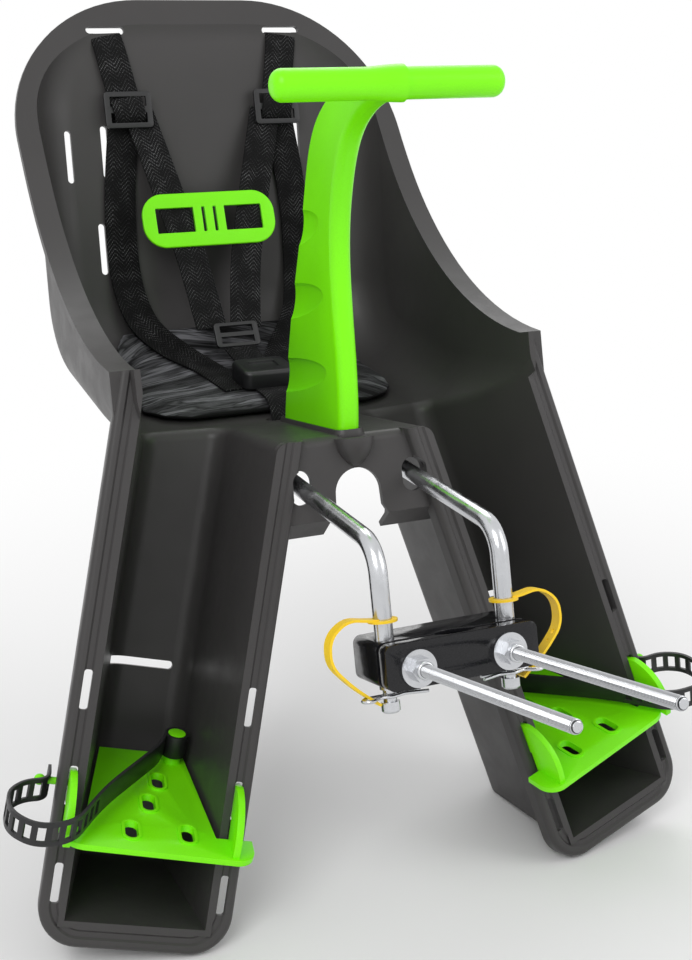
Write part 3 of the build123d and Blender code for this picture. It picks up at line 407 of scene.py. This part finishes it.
def settle_group():
    """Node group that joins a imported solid's loose triangles and smooths all but its sharp edges."""
    group = bpy.data.node_groups.new("settle_mesh", "GeometryNodeTree")
    group.interface.new_socket("Geometry", in_out="INPUT", socket_type="NodeSocketGeometry")
    group.interface.new_socket("Geometry", in_out="OUTPUT", socket_type="NodeSocketGeometry")
    start = wire(group, "NodeGroupInput").outputs[0]
    joined = wire(group, "GeometryNodeMergeByDistance", {"Geometry": start, "Distance": 0.000004})
    bare = wire(group, "GeometryNodeRemoveAttribute", {
        "Geometry": joined.outputs[0], "Name": "custom_normal"})
    smooth = wire(group, "GeometryNodeSetShadeSmooth", {"Geometry": bare.outputs[0]}, domain="FACE")
    angle = wire(group, "GeometryNodeInputMeshEdgeAngle").outputs[0]
    soft = wire(group, "FunctionNodeCompare", {0: angle, 1: SHARP}, operation="LESS_THAN")
    edges = wire(group, "GeometryNodeSetShadeSmooth", {
        "Geometry": smooth.outputs[0], "Shade Smooth": soft.outputs[0]}, domain="EDGE")
    wire(group, "NodeGroupOutput", {0: edges.outputs[0]})
    return group


def dress(names, material, rounding=0.0, segments=2):
    """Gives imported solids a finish, smooth shading and, where asked, rounded edges."""
    group = bpy.data.node_groups.get("settle_mesh") or settle_group()
    for name in names:
        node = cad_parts[name]
        for place in node.material_slots:
            place.material = material
        node.modifiers.new("settle", "NODES").node_group = group
        if rounding:
            edge = node.modifiers.new("edge", "BEVEL")
            edge.width = rounding
            edge.segments = segments
            edge.limit_method = "ANGLE"
            edge.angle_limit = SHARP
            edge.use_clamp_overlap = True
            node.modifiers.new("settle_edge", "NODES").node_group = group


def both(*stems):
    """Names of the left and right nodes of each stem."""
    return [f"{stem}_{side}" for stem in stems for side in ("left", "right")]


def keep_piece(name, bm, body, material, nodes):
    """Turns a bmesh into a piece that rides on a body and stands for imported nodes."""
    mesh = bpy.data.meshes.new(name)
    bm.to_mesh(mesh)
    bm.free()
    piece = bpy.data.objects.new(name, mesh)
    bpy.context.scene.collection.objects.link(piece)
    mesh.materials.append(material)
    for face in mesh.polygons:
        face.use_smooth = True
    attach(piece, body)
    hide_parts(*nodes)
    return piece


def ribbon(bm, stations, width):
    """Draws a flat strap through stations of point and facing, with its length kept for the weave."""
    lane = bm.verts.layers.float.get("lane") or bm.verts.layers.float.new("lane")
    length = bm.verts.layers.float.get("length") or bm.verts.layers.float.new("length")
    points = [rig(*point) for point, facing in stations]
    run = 0.0
    edge = None
    for i, (point, facing) in enumerate(stations):
        ahead = points[min(i + 1, len(points) - 1)] - points[max(i - 1, 0)]
        side = ahead.cross(way(*facing)).normalized() * width / 2
        if edge is None:
            edge = bm.edges.new([bm.verts.new(points[0]), bm.verts.new(points[0])])
            edge.verts[1][lane] = 1.0
        else:
            run += (points[i] - points[i - 1]).length
            made = bmesh.ops.extrude_edge_only(bm, edges=[edge])["geom"]
            fresh = {v for v in made if isinstance(v, bmesh.types.BMVert)}
            edge = next(e for e in made if isinstance(e, bmesh.types.BMEdge) and fresh.issuperset(e.verts))
        for v in edge.verts:
            v.co = points[i] + side * (2.0 * v[lane] - 1.0)
            v[length] = run


def lay_webbing(name, runs, nodes, material):
    """Makes one piece of harness webbing from its runs."""
    sizes = bpy.context.scene.seat_sizes
    bm = bmesh.new()
    for stations in runs:
        ribbon(bm, stations, sizes.webbing_width)
    lane = bm.verts.layers.float["lane"]
    length = bm.verts.layers.float["length"]
    weave = bm.loops.layers.uv.new("weave")
    for face in bm.faces:
        for corner in face.loops:
            corner[weave].uv = (corner.vert[lane], corner.vert[length])
    piece = keep_piece(name, bm, "seat", material, nodes)
    curve = piece.modifiers.new("curve", "SUBSURF")
    curve.levels = 3
    curve.render_levels = 3
    curve.boundary_smooth = "PRESERVE_CORNERS"
    cloth = piece.modifiers.new("cloth", "SOLIDIFY")
    cloth.thickness = sizes.webbing_thick
    cloth.offset = 0.0
    selvedge = piece.modifiers.new("selvedge", "BEVEL")
    selvedge.width = 0.3 * sizes.webbing_thick
    selvedge.segments = 2
    selvedge.limit_method = "ANGLE"
    return piece


BACK = (0.0, -1.0, -0.1)
BEND = (0.0, -0.75, 0.66)
PAN = (0.0, -0.33, 0.944)
CHEST = (0.0, -1.0, 0.2)


class SEAT_OT_shell(bpy.types.Operator):
    """Finish the moulded shell."""

    bl_idname = "seat.shell"
    bl_label = "Seat shell"

    def execute(self, context):
        scene = context.scene
        plastic = moulded_finish(
            "shell_plastic", scene.seat_colours.shell, 1500.0, 0.00005, 0.40, specular=0.34)
        dress(["seat_shell"], plastic, scene.seat_sizes.shell_edge, segments=3)
        return {"FINISHED"}


class SEAT_OT_lime_parts(bpy.types.Operator):
    """Finish the grip, the footrests and the chest clip."""

    bl_idname = "seat.lime_parts"
    bl_label = "Lime parts"

    def execute(self, context):
        scene = context.scene
        lime = moulded_finish("lime_plastic", scene.seat_colours.lime, 1100.0, 0.00003, 0.33, specular=0.3)
        dress(["t_handle"], lime)
        dress(["chest_clip", *both("footrest")], lime, scene.seat_sizes.lime_edge)
        return {"FINISHED"}


class SEAT_OT_steelwork(bpy.types.Operator):
    """Finish the carrier bar, its clips and the clamp's fasteners in zinc, the pressings in paint."""

    bl_idname = "seat.steelwork"
    bl_label = "Steelwork"

    def execute(self, context):
        colours = context.scene.seat_colours
        zinc = zinc_finish(colours.zinc)
        dress(["support_bar", *both("bar_clip", "clip_screw_inner", "clip_screw_outer", "spring_clip",
                                    "clamp_washer", "clamp_nut")], zinc)
        paint = paint_finish(colours.paint)
        dress(["rear_bracket", "clamp_plate"], paint, context.scene.seat_sizes.pressing_edge)
        return {"FINISHED"}


class SEAT_OT_studs(bpy.types.Operator):
    """Model the two clamp bolts with a rolled thread, a shank and a hexagon head."""

    bl_idname = "seat.studs"
    bl_label = "Clamp bolts"

    def execute(self, context):
        steel = thread_finish(context.scene.seat_colours.zinc)
        turned = Matrix((way(1, 0, 0), way(0, 0, 1), way(0, -1, 0))).transposed().to_4x4()
        for side, place in (("left", rig(-30, 0, 0)), ("right", rig(30, 0, 0))):
            bm = self.bolt(context.scene.seat_sizes)
            bmesh.ops.transform(bm, matrix=Matrix.Translation(place) @ turned, verts=bm.verts)
            piece = keep_piece(f"stud_{side}", bm, "seat", steel, [f"clamp_bolt_{side}"])
            for face in piece.data.polygons:
                face.use_smooth = False
        return {"FINISHED"}

    def bolt(self, sizes):
        """One bolt that points along +Z from the clamp's face: thread, shank and head."""
        steps = 20
        run, start, end, tip = 0.176, 0.004, 0.1727, 0.0014
        back, shank_radius, shank_long = -0.047, 0.004, 0.055
        head_radius, head_high, head_round = 0.0075, 0.0053, 0.0005
        turns = int(run / sizes.thread_pitch)
        root = sizes.stud_radius - sizes.thread_depth
        bm = bmesh.new()
        tooth = [bm.verts.new((root, 0.0, 0.0)),
                 bm.verts.new((sizes.stud_radius, 0.0, 0.5 * sizes.thread_pitch)),
                 bm.verts.new((root, 0.0, sizes.thread_pitch))]
        flanks = [bm.edges.new(tooth[:2]), bm.edges.new(tooth[1:])]
        bmesh.ops.spin(
            bm, geom=tooth + flanks, cent=(0, 0, 0), axis=(0, 0, 1), angle=2 * math.pi * turns,
            dvec=(0, 0, sizes.thread_pitch / steps), steps=steps * turns)
        bmesh.ops.remove_doubles(bm, verts=bm.verts, dist=0.00002)
        crest = bm.verts.layers.float.new("crest")
        for v in bm.verts:
            v[crest] = (math.hypot(v.co.x, v.co.y) - root) / sizes.thread_depth
        bmesh.ops.translate(bm, verts=bm.verts, vec=(0, 0, end - sizes.thread_pitch * (turns - 2)))
        for level, face in ((start, -1), (end, 1)):
            bmesh.ops.bisect_plane(
                bm, geom=bm.verts[:] + bm.edges[:] + bm.faces[:], plane_co=(0, 0, level),
                plane_no=(0, 0, face), clear_outer=True)
        bmesh.ops.holes_fill(bm, edges=[e for e in bm.edges if e.is_boundary])
        for v in bm.verts:
            near = (v.co.z - (end - tip)) / tip
            if near > 0:
                v.co.x *= 1.0 - 0.28 * near
                v.co.y *= 1.0 - 0.28 * near
        plain = bmesh.ops.create_cone(
            bm, cap_ends=True, segments=32, radius1=shank_radius, radius2=shank_radius,
            depth=shank_long)["verts"]
        bmesh.ops.translate(bm, verts=plain, vec=(0, 0, back + shank_long / 2))
        head = bmesh.ops.create_cone(
            bm, cap_ends=True, segments=6, radius1=head_radius, radius2=head_radius,
            depth=head_high)["verts"]
        bmesh.ops.translate(bm, verts=head, vec=(0, 0, back - head_high / 2))
        bmesh.ops.bevel(
            bm, geom=[e for e in bm.edges if all(v in head for v in e.verts)], offset=head_round,
            affect="EDGES", segments=2, profile=0.5, material=-1)
        # Head, shank and cut ends count as crest, so they take no painted root shade.
        for v in bm.verts:
            if v in plain or v.co.z < 0 or v.co.z > end - 0.0001:
                v[crest] = 1.0
        bmesh.ops.recalc_face_normals(bm, faces=bm.faces)
        return bm


class SEAT_OT_elastics(bpy.types.Operator):
    """Finish the yellow tethers that keep the spring clips."""

    bl_idname = "seat.elastics"
    bl_label = "Yellow tethers"

    def execute(self, context):
        yellow = context.scene.seat_colours.yellow
        dress(both("clip_tether"), moulded_finish("yellow_rubber", yellow, 900.0, 0.00004, 0.46, sheen=0.05))
        return {"FINISHED"}


class SEAT_OT_fittings(bpy.types.Operator):
    """Finish the strap sliders, the buckle and the ladder straps of the footrests."""

    bl_idname = "seat.fittings"
    bl_label = "Sliders, buckle and foot straps"

    def execute(self, context):
        scene = context.scene
        black = moulded_finish("black_fittings", scene.seat_colours.fittings, 1300.0, 0.00004, 0.42)
        names = ["buckle", "middle_slider", *both("strap_slider", "foot_strap")]
        dress(names, black, scene.seat_sizes.fitting_edge)
        return {"FINISHED"}


class SEAT_OT_harness(bpy.types.Operator):
    """Lay the harness webbing along the backrest, over the pad and through its sliders."""

    bl_idname = "seat.harness"
    bl_label = "Harness webbing"

    def execute(self, context):
        colours = context.scene.seat_colours
        # The webbing's light yarn colour is a painted highlight.
        cloth = webbing_finish(colours.webbing, colours.yarn_highlight)
        for side, sign in (("left", -1), ("right", 1)):
            shoulder = [
                ((73 * sign, 390.0, 450.5), (0, 0, 1)),
                ((73 * sign, 382.5, 450.3), (0, -0.2, 1)),
                ((73 * sign, 378.6, 448.4), (0, -0.8, 0.6)),
                ((71 * sign, back_y(437) - 2.0, 437.0), BACK),
                ((67 * sign, back_y(415) - 4.2, 415.0), BACK),
                ((64.5 * sign, back_y(402) - 5.2, 402.0), BACK)]
            fold = [
                ((64.2 * sign, back_y(400) - 6.5, 400.5), BACK),
                ((63.3 * sign, back_y(396) - 10.6, 396.5), (0, -0.9, 0.4)),
                ((62.0 * sign, back_y(390) - 12.0, 390.0), BACK),
                ((60.8 * sign, back_y(384) - 10.6, 383.5), (0, -0.9, -0.5)),
                ((60.2 * sign, back_y(380) - 6.5, 379.5), BACK)]
            lay_webbing(f"shoulder_webbing_{side}", [shoulder, fold], [f"shoulder_strap_{side}"], cloth)
            lap = [
                ((64 * sign, back_y(388) - 2, 388.0), BACK),
                ((69.5 * sign, back_y(352) - 2.3, 352.0), BACK),
                ((73 * sign, back_y(325) - 2.6, 325.0), BACK),
                ((75 * sign, back_y(292) - 2.8, 292.0), BACK),
                ((74 * sign, back_y(262) - 3, 262.0), BACK),
                ((71 * sign, 391, 240), (0, -1, 0.15)),
                ((66 * sign, 384, 222), (0, -0.9, 0.43)),
                ((57 * sign, 376.5, 210), BEND),
                ((47 * sign, 367.5, 199.5), BEND),
                ((38 * sign, 357.5, 191.5), (0, -0.5, 0.86)),
                ((31 * sign, 345, 184.8), PAN),
                ((27 * sign, 326, 177.6), PAN),
                ((24.5 * sign, 308, 171.2), PAN),
                ((22.5 * sign, 291, 165.4), PAN)]
            lay_webbing(f"lap_webbing_{side}", [lap], [f"lap_strap_{side}"], cloth)
            chest = [
                ((53 * sign, back_y(388) - 5, 388.0), CHEST),
                ((41.7 * sign - 1.5, 372.5, 345.0), CHEST),
                ((32 * sign - 2.7, 368.4, 308.0), CHEST),
                ((22.5 * sign - 3.9, 363.5, 272.0), CHEST),
                ((18 * sign - 6, 355, 242.0), CHEST),
                ((14 * sign - 8, 345, 214.0), (0, -1, 0.35))]
            lay_webbing(f"chest_webbing_{side}", [chest], [f"chest_strap_{side}"], cloth)
        middle = [((-4, 337.5, 198.5), (0, -1, 0.5)), ((-2, 327, 189.6), (0, -0.7, 0.9)),
                  ((0, 315.6, 182.6), (0, -0.5, 0.9))]
        lay_webbing("middle_webbing", [middle], ["middle_strap"], cloth)
        crotch = [((0, 286, 164.6), PAN), ((0, 273, 160.8), PAN), ((0, 263, 157.6), PAN),
                  ((0, 258.2, 152.5), (0, -0.85, 0.5)), ((0, 255.2, 144), (0, -1, 0.2)),
                  ((0, 252, 133), (0, -1, 0.25))]
        lay_webbing("crotch_webbing", [crotch], ["crotch_strap"], cloth)
        return {"FINISHED"}


class SEAT_OT_pad(bpy.types.Operator):
    """Sew the seat pad: a cover drawn in a little, then blown up by a short cloth run."""

    bl_idname = "seat.pad"
    bl_label = "Seat pad"

    def execute(self, context):
        scene = context.scene
        sizes = scene.seat_sizes
        bm = bmesh.new()
        bm.from_mesh(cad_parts["seat_pad"].data)
        bmesh.ops.remove_doubles(bm, verts=bm.verts, dist=0.000004)
        cloth = pad_finish(scene.seat_colours.streak)
        piece = keep_piece("seat_pad_cover", bm, "seat", cloth, ["seat_pad"])
        cells = piece.modifiers.new("cells", "REMESH")
        cells.mode = "VOXEL"
        cells.voxel_size = sizes.pad_cell
        self.settle(context, piece)
        bm = bmesh.new()
        bm.from_mesh(piece.data)
        bm.normal_update()
        for v in bm.verts:
            v.co -= sizes.pad_shrink * v.normal
        for step in range(3):
            bmesh.ops.smooth_vert(
                bm, verts=bm.verts, factor=0.5, use_axis_x=True, use_axis_y=True, use_axis_z=True)
        held = [v.index for v in bm.verts if v.normal.z < -0.35]
        bm.to_mesh(piece.data)
        bm.free()
        start = [v.co.copy() for v in piece.data.vertices]
        piece.vertex_groups.new(name="held").add(held, 1.0, "REPLACE")
        cover = piece.modifiers.new("cover", "CLOTH")
        cover.settings.use_pressure = True
        cover.settings.uniform_pressure_force = sizes.pad_pressure
        cover.settings.effector_weights.gravity = 0.0
        cover.settings.vertex_group_mass = "held"
        for number in range(1, sizes.pad_frames + 1):
            scene.frame_set(number)
        self.settle(context, piece)
        scene.frame_set(1)
        for v, before in zip(piece.data.vertices, start):
            moved = v.co - before
            if moved.length > sizes.pad_rise:
                v.co = before + sizes.pad_rise * moved.normalized()
        piece.vertex_groups.clear()
        for face in piece.data.polygons:
            face.use_smooth = True
        soft = piece.modifiers.new("soft", "SUBSURF")
        soft.levels = 1
        soft.render_levels = 1
        return {"FINISHED"}

    def settle(self, context, piece):
        """Makes the result of the piece's modifiers its own mesh."""
        shaped = bpy.data.meshes.new_from_object(piece.evaluated_get(context.evaluated_depsgraph_get()))
        piece.modifiers.clear()
        piece.data = shaped


class SEAT_OT_stage(bpy.types.Operator):
    """Set up the pale floor, the soft lights, the white room and the camera."""

    bl_idname = "seat.stage"
    bl_label = "Stage"

    def execute(self, context):
        scene = context.scene
        stage = scene.seat_stage
        low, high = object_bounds()
        middle = (low + high) / 2
        bm = bmesh.new()
        bmesh.ops.create_grid(bm, x_segments=1, y_segments=1, size=30.0)
        bmesh.ops.translate(bm, verts=bm.verts, vec=(0, 0, low.z))
        mesh = bpy.data.meshes.new("floor")
        bm.to_mesh(mesh)
        bm.free()
        floor = bpy.data.objects.new("floor", mesh)
        scene.collection.objects.link(floor)
        floor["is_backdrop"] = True
        mesh.materials.append(floor_finish(scene.seat_colours.floor, stage.floor_near, stage.floor_far))
        self.light(scene, "key_light", (-1.5, -1.5, 2.0), middle, 1.5, stage.key_power)
        self.light(scene, "fill_light", (1.7, -1.1, 1.2), middle, 1.4, stage.fill_power)
        self.light(scene, "back_light", (0.5, 1.9, 1.9), middle, 1.6, stage.back_power)
        self.room(scene, stage.room)
        lens = bpy.data.cameras.new("photo_camera")
        lens.lens = stage.lens
        lens.sensor_width = 36.0
        lens.shift_x = lens.shift_y = stage.shift
        camera = bpy.data.objects.new("photo_camera", lens)
        scene.collection.objects.link(camera)
        camera.location = stage.eye
        back = Vector((math.sin(stage.azimuth) * math.cos(stage.elevation),
                       -math.cos(stage.azimuth) * math.cos(stage.elevation), math.sin(stage.elevation)))
        camera.rotation_euler = (-back).to_track_quat("-Z", "Y").to_euler()
        scene.camera = camera
        scene.view_settings.view_transform = "Standard"
        return {"FINISHED"}

    def light(self, scene, name, place, target, size, power):
        """One square soft box aimed at the seat."""
        lamp = bpy.data.lights.new(name, "AREA")
        lamp.size = size
        lamp.energy = power
        box = bpy.data.objects.new(name, lamp)
        scene.collection.objects.link(box)
        box.location = Vector(place)
        box.rotation_euler = (target - box.location).to_track_quat("-Z", "Y").to_euler()

    def room(self, scene, strength):
        """White room: plain light on the seat, white where the eye or a reflection sees it."""
        world = bpy.data.worlds.new("studio")
        world.use_nodes = True
        tree = world.node_tree
        tree.nodes.clear()
        rays = wire(tree, "ShaderNodeLightPath")
        seen = calc(tree, "MAXIMUM", rays.outputs["Is Camera Ray"], calc(
            tree, "MAXIMUM", rays.outputs["Is Glossy Ray"], rays.outputs["Is Transmission Ray"]))
        level = wire(tree, "ShaderNodeMapRange", {
            "Value": seen, "To Min": strength, "To Max": 1.0}).outputs[0]
        sky = wire(tree, "ShaderNodeBackground", {"Color": (1.0, 1.0, 1.0, 1.0), "Strength": level})
        wire(tree, "ShaderNodeOutputWorld", {"Surface": sky.outputs[0]})
        scene.world = world


class SEAT_PT_panel(bpy.types.Panel):
    """Lists the seat's pieces, sizes and colours."""

    bl_idname = "SEAT_PT_panel"
    bl_label = "Front child seat"
    bl_space_type = "VIEW_3D"
    bl_region_type = "UI"
    bl_category = "Seat"

    def draw(self, context):
        for operator in operators:
            self.layout.operator(operator.bl_idname)
        for group in (context.scene.seat_sizes, context.scene.seat_colours, context.scene.seat_stage):
            for key in group.__annotations__:
                self.layout.prop(group, key)


operators = (SEAT_OT_shell, SEAT_OT_lime_parts, SEAT_OT_steelwork, SEAT_OT_studs, SEAT_OT_elastics,
             SEAT_OT_fittings, SEAT_OT_harness, SEAT_OT_pad, SEAT_OT_stage)
classes = (SeatSizes, SeatColours, SeatStage, *operators, SEAT_PT_panel)


def register():
    """Registers the classes and hangs the property groups on the scene."""
    for kind in classes:
        bpy.utils.register_class(kind)
    bpy.types.Scene.seat_sizes = PointerProperty(type=SeatSizes)
    bpy.types.Scene.seat_colours = PointerProperty(type=SeatColours)
    bpy.types.Scene.seat_stage = PointerProperty(type=SeatStage)


def unregister():
    """Takes the property groups and the classes away again."""
    del bpy.types.Scene.seat_stage
    del bpy.types.Scene.seat_colours
    del bpy.types.Scene.seat_sizes
    for kind in reversed(classes):
        bpy.utils.unregister_class(kind)


def main():
    """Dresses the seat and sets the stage."""
    register()
    bpy.ops.seat.shell()
    bpy.ops.seat.lime_parts()
    bpy.ops.seat.steelwork()
    bpy.ops.seat.studs()
    bpy.ops.seat.elastics()
    bpy.ops.seat.fittings()
    bpy.ops.seat.harness()
    bpy.ops.seat.pad()
    bpy.ops.seat.stage()


if __name__ == "__main__":
    main()
